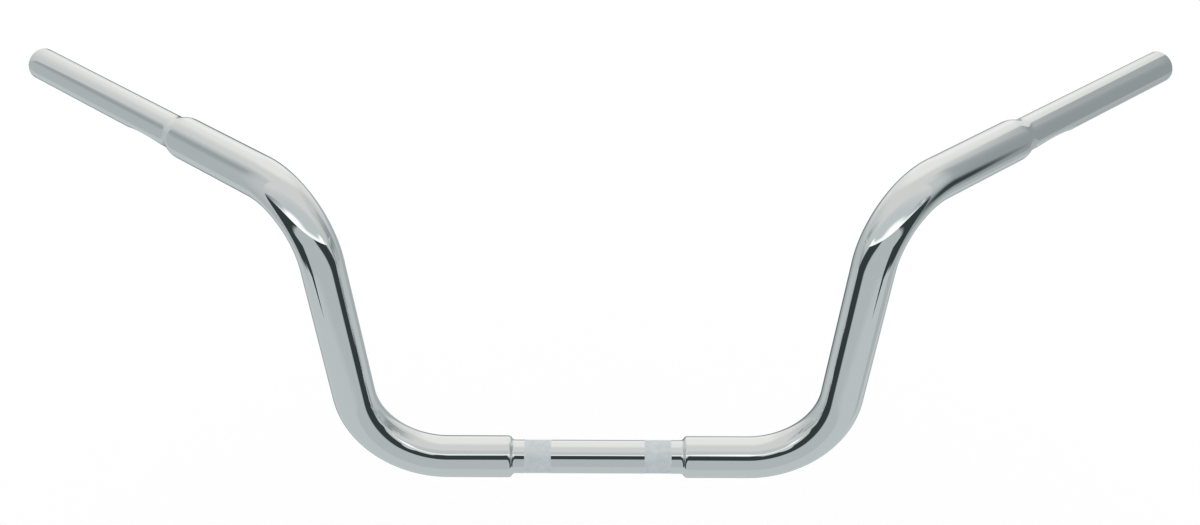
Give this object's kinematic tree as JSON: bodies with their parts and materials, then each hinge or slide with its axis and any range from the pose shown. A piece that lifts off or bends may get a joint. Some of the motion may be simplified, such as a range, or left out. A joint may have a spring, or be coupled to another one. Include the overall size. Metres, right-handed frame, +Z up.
{
  "type": "ape hanger handlebar",
  "caption": "Tall U-shaped chrome steel handlebar with upright arms, pulled-back grip ends, a slimmer knurled clamp section and wiring dimples under the grips.",
  "frame": {"origin": "middle of the clamp section, on the tube's centre line", "axes": "+X along the clamp section to the right as seen from the front, +Y back towards the rider, +Z up in the plane of the uprights"},
  "size_m": [0.914, 0.2561, 0.2601],
  "materials": {
    "chrome": "bright chrome plate on polished steel tube"
  },
  "bodies": {
    "root": {"handlebar": "chrome"}
  },
  "joints": []
}
